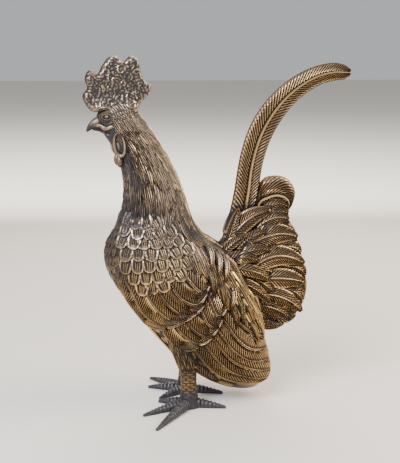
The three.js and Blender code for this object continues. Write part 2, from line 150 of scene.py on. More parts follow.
# the body's skin: u runs from the wing tips to the crown, v round the section
bodyShape = {
    # front edge, back edge, half width
    "stations": [
        ((69, 15), (73, 21), 9), ((57, 9), (74, 34), 20), ((43, 9), (70, 52), 28),
        ((27, 15), (64, 74), 33), ((9, 25), (59, 95), 36), ((-10, 41), (51, 114), 38),
        ((-30, 63), (42, 130), 39), ((-49, 87), (33, 140), 39), ((-66, 110), (25, 146), 38),
        ((-75, 130), (17, 151), 36), ((-74, 148), (8, 158), 32), ((-65, 164), (1, 170), 28),
        ((-59, 183), (-5, 189), 25), ((-58, 203), (-13, 210), 22.5), ((-61, 219), (-23, 229), 19.5),
        ((-66, 231), (-33, 245), 17), ((-74, 243), (-41, 256), 14.5), ((-79, 253), (-47, 265), 12.5),
        ((-79, 262), (-54, 271), 9), ((-73, 268), (-63, 271), 4),
    ],
    "around": 96,
    "torsoStep": 3, "headStep": 0.7,  # mm between rings, closer on the head for its fine lines
    "headFrom": 0.79,  # share of the way where the head starts
}
frontEdge = smoothCurve([front for front, _, _ in bodyShape["stations"]])
backEdge = smoothCurve([back for _, back, _ in bodyShape["stations"]])
halfWidth = smoothCurve([[half] for _, _, half in bodyShape["stations"]])


def skin(u, v):
    front, back = frontEdge(u), backEdge(u)
    centre, reach = (front + back) / 2, (front - back) / 2
    flat = centre + reach * np.cos(v)[..., None]
    return np.stack([flat[..., 0], halfWidth(u)[..., 0] * np.sin(v), flat[..., 1]], -1)


def skinFrame(u, v):
    step = 1e-3
    alongU = (skin(u + step, v) - skin(u - step, v)) / (2 * step)
    alongV = (skin(u, v + step) - skin(u, v - step)) / (2 * step)
    up = unitVectors(np.cross(alongU, alongV))
    outward = np.sign(dot(up, skin(u, v) - skin(u, v + np.pi)))
    return alongU, alongV, up * outward[..., None]


def moved(u, v, alongU, alongV, way, distance):
    uu, uv, vv = dot(alongU, alongU), dot(alongU, alongV), dot(alongV, alongV)
    wu, wv = dot(way, alongU), dot(way, alongV)
    det = np.maximum(uu * vv - uv * uv, 1e-9)
    return u + distance * (wu * vv - wv * uv) / det, v + distance * (wv * uu - wu * uv) / det


spotU = np.linspace(0, 1, 401)
spotFront, spotBack = frontEdge(spotU), backEdge(spotU)


def spotOnSkin(x, z, side):
    # where a spot of the side view lies on the skin
    line = spotBack - spotFront
    across = line[:, 0] * (z - spotFront[:, 1]) - line[:, 1] * (x - spotFront[:, 0])
    found = [(2.0, 0.0, 0.0)]
    for i in np.nonzero(across[:-1] * across[1:] <= 0)[0]:
        u = spotU[i] + (spotU[i + 1] - spotU[i]) * across[i] / (across[i] - across[i + 1] or 1)
        centre, reach = (frontEdge(u) + backEdge(u)) / 2, (frontEdge(u) - backEdge(u)) / 2
        share = np.dot(np.array([x, z]) - centre, reach) / np.dot(reach, reach)
        found.append((abs(share), u, share))
    _, u, share = min(found)
    return u, side * math.acos(np.clip(share, -0.98, 0.98))


def layOnSkin(start, length, heading=None, turn=0, swirl=0):
    # a lay puts a point at any share along a path and any offset across it
    # with no heading the path runs down the skin
    steps = 16
    u, v = np.array(start, float)
    track = []
    for step in range(steps + 1):
        alongU, alongV, up = skinFrame(u, v)
        if heading is None:
            way = -unitVectors(alongU) + swirl * unitVectors(alongV)
        else:
            angle = math.radians(heading + turn * step / steps)
            way = np.array([math.cos(angle), 0, math.sin(angle)])
        way = unitVectors(way - up * dot(way, up))
        track.append([u, v, *np.cross(up, way)])
        u, v = moved(u, v, alongU, alongV, way, length / steps)
    return followTrack(np.array(track), np.linspace(0, 1, steps + 1))


def followTrack(track, shares, inset=0):
    # track: u, v and the direction across at each share of the way
    def lay(share, offset):
        u, v, ax, ay, az = (np.interp(share, shares, column) for column in track.T)
        alongU, alongV, _ = skinFrame(u, v)
        u, v = moved(u, v, alongU, alongV, np.stack([ax, ay, az], -1), offset + inset)
        return skin(u, v), skinFrame(u, v)[2]

    return lay


def runAlong(points):
    return np.concatenate([[0], np.cumsum(np.linalg.norm(np.diff(points, axis=0), axis=1))])


def layAlong(line, side, inset=0):
    # a lay that follows a line drawn in the side view, and the length of it
    spots = np.array([spotOnSkin(x, z, side) for x, z in smoothCurve(line)(np.linspace(0, 1, 17))])
    u, v = spots.T
    place, up = skin(u, v), skinFrame(u, v)[2]
    steps = np.gradient(place, axis=0)
    way = unitVectors(steps - up * dot(steps, up)[:, None])
    run = runAlong(place)
    return followTrack(np.column_stack([u, v, np.cross(up, way)]), run / run[-1], inset), run[-1]


# feathers: outlines give the half width from the root at 0 to the tip at 1

def leafOutline(t):
    return np.sin(np.pi * mix(0.22, 0.975, t)) ** 0.6


def lanceOutline(t):
    return np.sin(np.pi * mix(0.26, 0.975, t)) ** 0.8


def scaleOutline(t):
    return np.sqrt(np.maximum(0.05, 1 - (np.maximum(0, (t - 0.4) / 0.61)) ** 2.2))


def bandOutline(t):
    rounded = np.sqrt(np.maximum(0.06, 1 - (np.maximum(0, (t - 0.72) / 0.3)) ** 2))
    return np.minimum(1, mix(0.7, 1, t * 1.5)) * rounded


def addFeather(lay, length, width, outline, profile, rise, root, barb=0, slant=0.9, shaftAt=0.0,
               relief=0.46, rows=None, flip=1, tipRim=None, barbFrom=-1.2):
    place, lift = np.array(profile, float).T
    rows = rows or max(4, int(round(2 * length / barb)))  # a ridge and a groove for each barb
    row = np.arange(rows + 1)
    t = (row / rows)[:, None]
    away = np.abs(place - shaftAt)
    reach = slant * away * width / 2 * outline(t) / length
    along = t + np.minimum(reach, 0.92 * (1 - t) * np.minimum(1, away * 1.2))
    half = width / 2 * outline(along)
    ridge = np.where(row % 2 == 0, 1.0, -1.0)[:, None]
    onVane = clamped(away * 5) * clamped((1.02 - np.abs(place)) * 6) * clamped((place - barbFrom) * 6)
    shape = lift + (relief * ridge * onVane if barb else 0 * along)
    if tipRim is not None:  # the raised rim runs on round the tip
        shape = mix(shape, tipRim, clamped((along - 0.76) / 0.07))
    height = rise * mix(0.12, 1, clamped(along * 2.2)) + shape * np.clip(along * 12, 0.2, 1)
    p, up = lay(along, flip * place * half)
    top = p + up * height[..., None]
    floor = p - up * root
    addShell(np.concatenate([top, floor[:, -1:], floor[:, :1]], axis=1))


def mirrored(half):
    # the top of a feather from edge to edge, drawn from its middle out: place up to 1, height in mm
    return [(-place, height) for place, height in half[:0:-1]] + half


vane = mirrored([(0, 0.8), (0.13, 0.1), (0.45, 0.3), (0.8, 0), (1, -0.5)])
rimmedVane = [(-1, -0.55), (-0.93, 0.15), (-0.83, -0.45), (-0.72, 0.2), (-0.62, -0.2), (-0.25, 0.15),
              (0.2, -0.15), (0.6, -0.7), (1, -1.6)]
groovedScale = mirrored([(0, 0.35), (0.13, -0.35), (0.26, 0.25), (0.42, -0.4), (0.57, -0.4), (0.7, 0.45),
                         (0.9, 0.35), (1, -0.6)])
groovedLock = mirrored([(0, 0.5), (0.34, -0.35), (0.62, 0.35), (1, -0.3)])


# body, with fine lines engraved in the head that sweep back from the eye
headLines = {"eye": (-73, 259), "spacing": 2.1, "depth": 0.45, "from": 4.6, "to": 34}


def makeBody():
    shape = bodyShape
    dense = np.linspace(0, 1, 2001)
    run = runAlong((frontEdge(dense) + backEdge(dense)) / 2)
    step = np.where(dense < shape["headFrom"], shape["torsoStep"], shape["headStep"])
    count = np.concatenate([[0], np.cumsum(np.diff(run) / step[1:])])
    u = np.interp(np.arange(int(count[-1]) + 2), count, dense)
    u, v = np.meshgrid(u, roundTurns(shape["around"]), indexing="ij")
    p = skin(u, v)
    dx, dz = p[..., 0] - headLines["eye"][0], p[..., 2] - headLines["eye"][1]
    distance = np.hypot(dx, dz)
    onHead = u > shape["headFrom"]
    behind = clamped((dx + 0.4 * dz + 12) / 6) * clamped((dz + 12) / 6)
    band = clamped((distance - headLines["from"]) / 2) * clamped((headLines["to"] - distance) / 6)
    lines = headLines["depth"] * np.cos(2 * np.pi * distance / headLines["spacing"]) * band * behind * onHead
    addShell(p + skinFrame(u, v)[2] * lines[..., None])


# hackle: rows of narrow pointed locks down the neck, each with its own engraved lines
hackle = {
    "from": 0.87, "toFront": 0.675, "toBack": 0.55, "rows": 12, "topCount": 8, "hemCount": 13,
    "frontTop": 70, "frontEdge": 38, "backEdge": 177, "length": (18, 36), "width": (4.4, 6.2), "rise": 0.8,
}


def makeHackle(side):
    h = hackle
    for row in range(h["rows"]):
        share = row / (h["rows"] - 1)
        count = round(mix(h["topCount"], h["hemCount"], share))
        for i in range(count):
            across = (i + (row % 2) * 0.5 + 0.6 * rng.random() - 0.2) / (count - 0.3)
            front = mix(h["frontTop"], h["frontEdge"], min(1, share * 2.5))
            angle = mix(front, h["backEdge"], across)
            length = mix(*h["length"], share) * (0.9 + 0.25 * rng.random())
            hem = mix(h["toFront"], h["toBack"], min(1, across * 1.3))
            start = (mix(h["from"], hem, share) + 0.022 * rng.random(), side * math.radians(min(angle, 176)))
            lay = layOnSkin(start, length, swirl=side * (0.08 * rng.random() - 0.02))
            addFeather(lay, length, mix(*h["width"], share), lanceOutline, groovedLock,
                       rise=h["rise"] + 0.5 * rng.random(), root=2.2, rows=7)


# breast and throat: small scales
breast = {"rows": 25, "from": 0.2, "to": 0.76, "width": (5.2, 6.6), "length": 9, "edge": 40, "rise": 0.6}


def makeBreast(side):
    b = breast
    for row in range(b["rows"]):
        u = mix(b["to"], b["from"], row / (b["rows"] - 1))
        edge = b["edge"] + 12 * clamped((0.45 - u) / 0.15)
        width = mix(*b["width"], row / (b["rows"] - 1))
        count = max(2, int(halfWidth(u)[0] * math.radians(edge) / (width * 0.8)))
        for i in range(count):
            angle = edge * (i + 0.5 * (row % 2) + 0.15 * rng.random()) / count
            lay = layOnSkin((u, side * math.radians(angle)), b["length"])
            addFeather(lay, b["length"], width * (0.8 + 0.3 * rng.random()), leafOutline,
                       groovedLock[::2], rise=b["rise"] + 0.4 * rng.random(), root=1.8, rows=4)


# shoulder: rows of round-ended scale feathers hung like tiles
shoulder = {
    # the first and the last tip of each row, and how many scales it has
    "rows": [
        ((-57, 163), (-29, 162), 4), ((-60, 155), (-20, 154), 5),
        ((-62, 146), (-12, 147), 6), ((-63, 136.5), (-6, 139), 6), ((-62, 127), (-4, 130), 6),
        ((-57, 116.5), (-12, 121), 5), ((-48, 107), (-25, 112), 3),
    ],
    "heading": (-100, -62), "length": 14.5, "width": 12.8, "rise": 1.9, "rim": 0.4,
}


def makeShoulder(side):
    s = shoulder
    for row, (first, last, count) in enumerate(s["rows"]):
        for i in range(count):
            share = (i + 0.25 * (row % 2)) / (count - 0.75)
            heading = mix(*s["heading"], share) + rng.uniform(-4, 4)
            turn = math.radians(heading)
            hang = s["length"] * np.array([math.cos(turn), math.sin(turn)])
            root = mix(np.array(first), last, share) - hang + rng.uniform(-0.5, 0.5, 2)
            lay = layOnSkin(spotOnSkin(*root, side), s["length"], heading)
            addFeather(lay, s["length"], s["width"], scaleOutline, groovedScale,
                       rise=s["rise"] + 0.3 * rng.random(), root=2.6, rows=13, slant=0.2, tipRim=s["rim"])


# wing: a ridge along its front, flight feathers round its tip, and two tiers of coverts
wing = {
    # each feather's lower edge in the side view, from its root to its tip
    "flight": [
        [(27, 89), (40, 74), (53, 65), (71, 54.5)], [(23, 79), (35, 63), (48, 53), (66, 47)],
        [(19, 69), (29.5, 55), (45, 43), (68, 36)], [(14.5, 62), (28, 46), (46, 35), (76, 25)],
        [(7, 58), (21, 41), (38, 29), (75, 18)], [(-2, 54), (12, 37), (30, 24), (62, 16.5)],
        [(-11, 47), (3, 33), (20, 19.5), (38, 13)], [(-15, 44), (-5, 33), (9, 23), (24, 16)],
        [(-19, 40), (-9, 28), (4, 18), (20, 10)],
    ],
    "lower": [
        [(-34, 81), (-22, 64), (-10, 54), (4.5, 55)], [(-23, 83), (-11, 69), (2, 61), (15.5, 64)],
        [(-12, 84), (-2, 73), (9.5, 68), (21, 73)], [(1, 93), (7, 81), (16, 76), (25, 81)],
        [(7, 105), (13, 91), (19, 86), (28, 90)],
    ],
    "upper": [
        [(-61, 107), (-52, 90), (-38, 76), (-24, 71)], [(-56, 109), (-43, 88), (-26, 77), (-7.5, 80.5)],
        [(-47, 111), (-35, 94), (-18, 82), (1, 87)], [(-36, 110), (-24, 96), (-8.5, 87), (8, 94)],
        [(-25, 115), (-15, 103), (-1, 97.5), (11, 105)], [(-13, 123), (-3, 112), (5, 107), (13, 111)],
    ],
    "rise": {"flight": 1.5, "lower": 2.3, "upper": 2.9},
    "width": {"flight": 13.5, "lower": 13.5, "upper": 14.5},
    "barb": 2.7, "relief": 0.55,
    "tuck": 0.9,  # how far a root runs on under the feathers above, in first steps of its line
    "ridge": [(-68, 133), (-63, 111), (-48, 85), (-32, 66.5), (-17, 50)], "ridgeWidth": 5.5,
}


def makeWing(side):
    lay, length = layAlong(wing["ridge"], side)
    addFeather(lay, length, wing["ridgeWidth"], leafOutline, groovedLock, rise=1.5, root=2.5, rows=40)
    for tier in ("flight", "lower", "upper"):
        width = wing["width"][tier]
        for line in wing[tier]:
            root = np.subtract(line[0], wing["tuck"] * np.subtract(line[1], line[0]))
            lay, length = layAlong([tuple(root)] + line, side, inset=-side * width / 2)
            addFeather(lay, length, width, bandOutline, rimmedVane, rise=wing["rise"][tier], root=2.6,
                       barb=wing["barb"], slant=1.2, shaftAt=1, relief=wing["relief"], flip=-side,
                       barbFrom=-0.7)


# saddle and rump: narrow locks that fall from the back and round the fan's root
saddle = {
    # each row's first and last root, count, first and last heading, length and rise
    "rows": [
        ((-14, 156), (6, 146), 5, (-84, -80), 36, 1.9), ((2, 156), (30, 138), 6, (-80, -70), 36, 1.3),
        ((6, 140), (42, 124), 7, (-84, -58), 34, 2.1), ((16, 124), (50, 108), 6, (-80, -62), 34, 2.6),
        ((34, 102), (58, 88), 4, (-74, -66), 26, 2.2),
    ],
    "width": 7.6,
    # longer locks that lie on top, each from its root to its tip
    "locks": [
        ((11, 149), (12, 126)), ((19, 144), (18, 120)), ((26, 140), (24, 116)), ((10, 130), (13, 105)),
        ((18, 121), (23, 95)), ((31, 116), (29, 92)), ((35, 108), (40, 80)), ((41, 100), (51, 76)),
        ((29, 99), (35, 76)), ((45, 94), (57, 71)), ((50, 104), (60, 82)), ((51, 88), (62, 62)),
        ((57, 86), (65, 64)), ((45, 84), (55, 61)),
    ],
    "lockWidth": 8.4, "lockRise": 3,
    # short feathers down the back edge behind the wings
    "rump": {"from": 0.2, "to": 0.03, "rows": 7, "angles": (116, 134, 152, 170), "length": 13, "width": 10,
             "rise": 0.8, "barb": 2.7},
}


def makeSaddle(side):
    for first, last, count, heading, length, rise in saddle["rows"]:
        for share in np.linspace(0, 1, count):
            root = mix(np.array(first), last, share) + rng.uniform(-1, 1, 2) * (1, 1.5)
            lay = layOnSkin(spotOnSkin(*root, side), length, mix(*heading, share), turn=12)
            width = saddle["width"] * (0.85 + 0.3 * rng.random())
            addFeather(lay, length, width, lanceOutline, groovedLock, rise=rise + 0.4 * rng.random(), root=3,
                       rows=9)
    r = saddle["rump"]
    for row in range(r["rows"]):
        u = mix(r["from"], r["to"], row / (r["rows"] - 1))
        for angle in r["angles"]:
            lay = layOnSkin((u, side * math.radians(angle - 9 * (row % 2))), r["length"])
            addFeather(lay, r["length"], r["width"], leafOutline, vane, rise=r["rise"], root=2.2,
                       barb=r["barb"])
    for start, end in saddle["locks"]:
        middle = ((start[0] + end[0]) / 2 + 1.5, (start[1] + end[1]) / 2)
        lay, length = layAlong([start, middle, end], side)
        addFeather(lay, length, saddle["lockWidth"], lanceOutline, groovedScale[2:-2],
                   rise=saddle["lockRise"] + 0.5 * rng.random(), root=3, rows=12)


# tail fan: an upright plate, thick at its root, with feathers on each face
fan = {
    "centre": (38, 126), "low": -65, "high": 55,
    "reach": [70, 77, 80, 77, 69, 66, 65, 66, 60],  # from the centre to the rim, from low to high
    "rootHalf": 21, "rimHalf": 3, "rounding": 16, "byStem": 0.46,
    # each feather's root, middle, tip, width, and how far it stands off the plate
    "feathers": [
        ((38, 151.5), (53, 167), (73.5, 174), 17, 2.6), ((34, 149), (39.5, 163), (44, 176.5), 8.5, 3),
        ((28, 136.5), (38, 146), (49.5, 151.5), 9, 3.2), ((42, 140), (55, 150.5), (68.5, 155), 9.5, 2.4),
        ((43.5, 135.5), (57.5, 140), (71, 139.5), 10, 2.6), ((30.5, 130), (45.5, 134), (60, 130), 10.5, 3),
        ((54, 143.5), (76.5, 152.5), (99.5, 148.5), 19, 1), ((61, 158.5), (77, 167), (91.5, 164.5), 14, 0.6),
        ((54.5, 123), (79, 133), (106.5, 123.5), 19.5, 1.2), ((38.5, 124.5), (57, 120.5), (71, 111.5), 11, 3),
        ((25, 130), (36, 121.5), (48, 110), 8.5, 3.4), ((41, 113), (58, 104), (72, 92), 10.5, 2.6),
        ((66.5, 112.5), (88.5, 111), (106.5, 106), 18, 1), ((65, 98), (88, 92), (105, 78.5), 16, 0.8),
        ((55, 88), (76, 84), (95, 72), 13.5, 0.4), ((50, 77), (64.5, 70.5), (81, 64), 11, 0),
        ((93, 99.5), (101, 95), (106, 88), 11, 0), ((89, 122), (101, 119.5), (108, 112), 13, 0),
        ((82, 141), (95, 139.5), (103, 134), 13, 0), ((80, 158), (90, 155.5), (97.5, 151), 11, 0),
        ((58, 113), (68, 107), (77, 99), 13, 0.2), ((58, 98), (68, 91), (78, 84), 13, 0),
        ((74, 77), (88, 73), (99.5, 76), 12, 0), ((58, 73), (73, 67), (88, 67.5), 10, 0),
        ((84, 86), (96, 84), (104.5, 86), 11, 0), ((60, 146), (70, 146), (80, 141), 11, 0.2),
        ((60, 164), (76, 172), (91, 170.5), 13, 0), ((66, 174), (79, 179), (89, 177), 9, 0.3),
    ],
    # two rings of leaves under the drawn ones: from and to as shares of the reach, count, lift
    "under": [(0.48, 0.965, 15, -0.7), (0.16, 0.6, 10, -0.5)], "underWidth": 13,
    "farSide": (0.6, 0.5),  # mm that the right face's feathers are shifted, so that no edges meet
    "rise": 1.7, "barb": 2.8, "slant": 1.25, "relief": 0.55,
}
fanReachCurve = smoothCurve([[r] for r in fan["reach"]])


def fanReach(angle):
    return fanReachCurve((angle - fan["low"]) / (fan["high"] - fan["low"]))[..., 0]


def fanPoint(angle, reach):
    turn = np.radians(angle)
    return np.stack([np.cos(turn), np.sin(turn)], -1) * np.asarray(reach)[..., None] + fan["centre"]


def fanHalf(x, z):
    x, z = x - fan["centre"][0], z - fan["centre"][1]
    share = clamped(np.hypot(x, z) / 70)
    # rounded off towards the side where the upright feathers stand
    turn = math.radians(fan["high"])
    inward = x * math.sin(turn) - z * math.cos(turn)
    full = mix(fan["byStem"], 1, np.sqrt(clamped(inward / fan["rounding"])))
    return mix(fan["rootHalf"], fan["rimHalf"], share ** 0.8) * full


def layOnFan(start, middle, end, side, lift):
    control = 2 * middle - (start + end) / 2

    def lay(share, offset):
        s = np.asarray(share, float)[..., None]
        here = (1 - s) ** 2 * start + 2 * s * (1 - s) * control + s ** 2 * end
        way = unitVectors(2 * (1 - s) * (control - start) + 2 * s * (end - control))
        p = here + np.stack([-way[..., 1], way[..., 0]], -1) * offset[..., None]
        x, z = p[..., 0], p[..., 1]
        place = np.stack([x, side * (fanHalf(x, z) + lift), z], -1)
        return place, np.broadcast_to([0.0, side, 0.0], place.shape)

    return lay


def makeFanPlate():
    angle, share = np.meshgrid(np.linspace(fan["low"], fan["high"], 41), np.linspace(0, 1, 12), indexing="ij")
    p = fanPoint(angle, fanReach(angle) * share)
    addPlate(p, fanHalf(p[..., 0], p[..., 1]))


def makeFanFeathers(side):
    shift = np.array(fan["farSide"]) * (side > 0)

    def addLeaf(start, middle, end, length, width, lift):
        lay = layOnFan(start + shift, middle + shift, end + shift, side, lift)
        root = fan["rimHalf"] + lift + 1.5
        addFeather(lay, length, width, leafOutline, vane, rise=fan["rise"], root=root,
                   barb=fan["barb"], slant=fan["slant"], relief=fan["relief"])

    for near, far, count, lift in fan["under"]:
        for angle in np.linspace(fan["low"] + 5, fan["high"] - 5, count):
            reach = fanReach(angle)
            bends = ((3, near), (1.5, (near + far) / 2), (-2, far))
            line = [fanPoint(angle + bend, share * reach) for bend, share in bends]
            addLeaf(*line, (far - near) * reach, fan["underWidth"], lift)
    for start, middle, end, width, lift in fan["feathers"]:
        addLeaf(start, middle, end, math.dist(start, middle) + math.dist(middle, end), width, lift)


# the two upright tail feathers: one section swept between an outer and an inner edge
sickle = {
    "outer": [
        (20, 124), (29, 146), (36, 168), (41, 190), (44, 209), (48, 228), (55, 248), (66, 266), (81, 282),
        (98, 294), (115, 301.5), (131, 304.5), (142, 303), (148.5, 299),
    ],
    "inner": [
        (58, 118), (60, 150), (62, 172), (64.5, 190), (66, 205), (69, 220), (75, 237), (84, 253), (96, 268),
        (109, 278.5), (122, 285.5), (134, 288.5), (143, 289.5), (148, 293),
    ],
    "half": 4.6, "length": 262, "barb": 3.6, "slant": 0.055, "relief": 0.55, "shaft": 0.53,
}
curl = {
    "outer": [
        (48, 160), (54, 183), (62, 198), (69.5, 203), (79, 204.5), (89, 202.5), (96, 195.5), (98.5, 187.5),
        (96.5, 179), (93, 173),
    ],
    "inner": [
        (60, 160), (61.5, 172), (65, 179), (70, 181.5), (76, 183.5), (81, 184), (86, 183), (89.5, 181),
        (91.5, 178), (91, 175),
    ],
    "half": 5.6, "length": 84, "barb": 4.4, "slant": 0.2, "relief": 0.75, "shaft": 0.86,
}
# the hollow under the curl: a thin web with long bars on it
web = {
    "low": [(58, 158), (75, 160), (92, 163)], "high": [(58, 186), (76, 187), (92, 181)],
    "half": 2.8, "bars": 4, "barRise": 0.7,
}
# share of the way to the shaft, height in half thicknesses, how much the barbs show
bladeVane = [
    (0, 0.04, 0), (0.05, 0.3, 0), (0.14, 0.5, 0.4), (0.3, 0.62, 1), (0.62, 0.66, 1), (0.82, 0.52, 0.6),
]
bladeShaft = [(-0.07, 0.42, 0), (-0.04, 0.95, 0), (0.04, 0.95, 0), (0.07, 0.42, 0)]


def makeBlade(shape):
    outer, inner = smoothCurve(shape["outer"]), smoothCurve(shape["inner"])
    rows = int(2 * shape["length"] / shape["barb"])
    row = np.arange(rows + 1)
    t = (row / rows)[:, None]
    shaft = shape["shaft"]
    section = [(shaft * part, height, barbs) for part, height, barbs in bladeVane]
    section += [(shaft + part, height, barbs) for part, height, barbs in bladeShaft]
    section += [(1 - (1 - shaft) * part, height, barbs) for part, height, barbs in bladeVane[::-1]]
    share, height, barbs = (np.array(column) for column in zip(*section))
    away = 2 * np.abs(share - shaft)
    along = t + np.minimum(shape["slant"] * away, 0.9 * (1 - t) * away)
    a, b = outer(along), inner(along)
    flat = a + (b - a) * share[:, None]
    ridge = np.where(row % 2 == 0, 1, -1)[:, None] * shape["relief"] * barbs
    addPlate(flat, shape["half"] * mix(1.25, 0.6, along) * height + ridge)


def makeWeb():
    along, across = np.meshgrid(np.linspace(0, 1, 14), np.linspace(0, 1, 25), indexing="ij")
    low, high = smoothCurve(web["low"])(along), smoothCurve(web["high"])(along)
    half = web["half"] + web["barRise"] * np.cos(2 * np.pi * web["bars"] * across)
    addPlate(mix(low, high, across[..., None]), half)


# comb: a thick plate with rounded lobes, pebbled all over
comb = {
    "outline": [
        (-74, 262), (-84, 263), (-90, 270), (-92, 277), (-88, 283), (-90, 291), (-86, 298), (-79, 295),
        (-75, 302), (-69, 309), (-62, 310), (-57, 305), (-51, 310), (-44, 307), (-42, 298), (-39, 290),
        (-33, 285), (-34, 278), (-42, 270), (-46, 261), (-60, 256),
    ],
    "half": 4.6, "rounding": 3.2, "grain": 1.35, "pebble": 0.85,
    "foot": {"top": 279, "front": -86, "back": -42, "half": 8.5},  # it flows into the skull
}


def makeComb():
    rim = smoothCurve(comb["outline"], closed=True)(np.arange(150) / 150)
    low, high = rim.min(0), rim.max(0)
    step = comb["grain"]
    xs, zs = np.meshgrid(np.arange(low[0], high[0], step), np.arange(low[1], high[1], step * 0.87))
    xs = xs + (np.arange(xs.shape[0]) % 2)[:, None] * step / 2
    spots = np.stack([xs.ravel(), zs.ravel()], 1) + rng.uniform(-0.2, 0.2, (xs.size, 2))
    nextRim = np.roll(rim, -1, axis=0)
    edge = nextRim - rim
    along = clamped(np.einsum("sij,ij->si", spots[:, None] - rim, edge) / np.sum(edge ** 2, 1))
    distance = np.linalg.norm(spots[:, None] - (rim + along[..., None] * edge), axis=2).min(1)
    x, z = spots[:, :1], spots[:, 1:]
    crosses = (rim[:, 1] > z) != (nextRim[:, 1] > z)
    hit = rim[:, 0] + (z - rim[:, 1]) * edge[:, 0] / np.where(edge[:, 1] == 0, 1e-9, edge[:, 1])
    inside = np.sum(crosses & (x < hit), axis=1) % 2 == 1
    keep = inside & (distance > step * 0.5)
    count = len(rim)
    loop = list(range(count))
    flat = np.vstack([rim, spots[keep]])
    made = delaunay_2d_cdt([Vector(p) for p in flat], list(zip(loop, loop[1:] + [0])), [loop], 1, 1e-6)
    triangles = np.array([f for f in made[2] if len(f) == 3])
    source = np.array([min(places) for places in made[3]])
    inner = source >= count
    flat = flat[source]
    depth = np.concatenate([np.zeros(count), distance[keep]])[source]
    edgeward = 1 - clamped(depth / comb["rounding"])
    foot, (x, z) = comb["foot"], flat.T
    low = clamped((foot["top"] - z) / 12) * clamped((x - foot["front"]) / 8) * clamped((foot["back"] - x) / 6)
    half = mix(comb["half"], foot["half"], low ** 1.6) * np.sqrt(1 - edgeward ** 2) * inner
    sheets = []
    for sign in (1, -1):
        pebbles = rng.uniform(-1, 0.4, len(flat)) * comb["pebble"] * np.clip(depth / 0.8, 0.3, 1)
        y = sign * np.where(inner, np.maximum(half + pebbles, 0.25), 0)
        sheets.append(np.stack([x, y, z], 1))
    back = triangles[:, ::-1] + len(flat)
    back = np.where(inner[back - len(flat)], back, back - len(flat))  # both sheets share the rim
    used, packed = np.unique(np.vstack([triangles, back]), return_inverse=True)
    addTriangles(np.vstack(sheets)[used], packed.reshape(-1, 3))


# head: beak, eye, lids, bars and lumps of the cheek, wattle
face = {
    # upper and lower beak: root, bend and tip, radius at both ends, how it tapers, width, sides
    "beak": [
        ((-70, 254), (-84, 255), (-89, 246), (8, 0.8), 1.1, 0.8, 14),
        ((-70, 248), (-77, 247.75), (-84, 247.5), (3.4, 0.5), 1, 1, 12),
    ],
    "eye": (-73, 259, 10.6), "eyeBall": 1.9, "lids": [(3.3, 0.7), (4.9, 0.45)],
    # bars on the face: points in the side view with how far out they lie, and a radius
    "bars": [
        ([(-83, 252, 4), (-78, 251.5, 7.4), (-73, 249, 9.4), (-68, 250.5, 11.2), (-60, 248.5, 13.4)], 1.9),
        ([(-77, 245.5, 5.4), (-71, 243.5, 8.2), (-66, 243, 10.4)], 0.8),
        ([(-83, 263, 5.5), (-77, 266.5, 8.6), (-70, 266, 10), (-65, 261, 12.2)], 0.9),
    ],
    "wattle": {"at": (-62.5, 235.5, 13.4), "size": (4.6, 9.6), "bar": 1.35, "open": 26},
    # small lumps behind the cheek: place, size
    "lumps": [
        ((-58, 13.6, 250), (2.6, 2.2, 2)), ((-55.5, 14.4, 246), (2.2, 2, 2.4)),
        ((-61, 13, 247), (2, 1.8, 1.6)), ((-58.5, 14, 243.5), (1.6, 1.6, 2)),
        ((-55.5, 15, 230), (1.7, 1.5, 7)), ((-62, 9, 221), (3, 3, 5.5)),
    ],
}


def addTube(line, radii, around=10, squash=1.0, looped=False):
    # a round bar along points, upright in the side view, its width along y scaled by squash
    ahead = np.roll(line, -1, 0) - np.roll(line, 1, 0)
    if not looped:
        ahead[0], ahead[-1] = line[1] - line[0], line[-1] - line[-2]
    ahead = unitVectors(ahead)
    sideways = unitVectors(np.cross(ahead, [0.0, 1.0, 0.0]) + 1e-6)
    other = unitVectors(np.cross(ahead, sideways)) * squash
    turn = roundTurns(around)[:, None]
    ring = sideways[:, None] * np.cos(turn) + other[:, None] * np.sin(turn)
    addShell(line[:, None] + ring * radii[:, None, None], looped)


def addKnob(centre, size, down=10, around=14):
    # a stretched ball
    polar = np.linspace(0.12, np.pi - 0.12, down)[:, None]
    turn = roundTurns(around)
    x, y, z = np.sin(polar) * np.cos(turn), np.sin(polar) * np.sin(turn), np.cos(polar) + 0 * turn
    addShell(np.stack([x, y, z], -1) * size + centre)


def makeBeak():
    t = np.linspace(0, 1, 12)[:, None]
    for root, bend, tip, size, taper, squash, around in face["beak"]:
        a, b, c = (np.array([x, 0.0, z]) for x, z in (root, bend, tip))
        line = (1 - t) ** 2 * a + 2 * t * (1 - t) * b + t ** 2 * c
        addTube(line, mix(*size, t[:, 0] ** taper), around, squash)


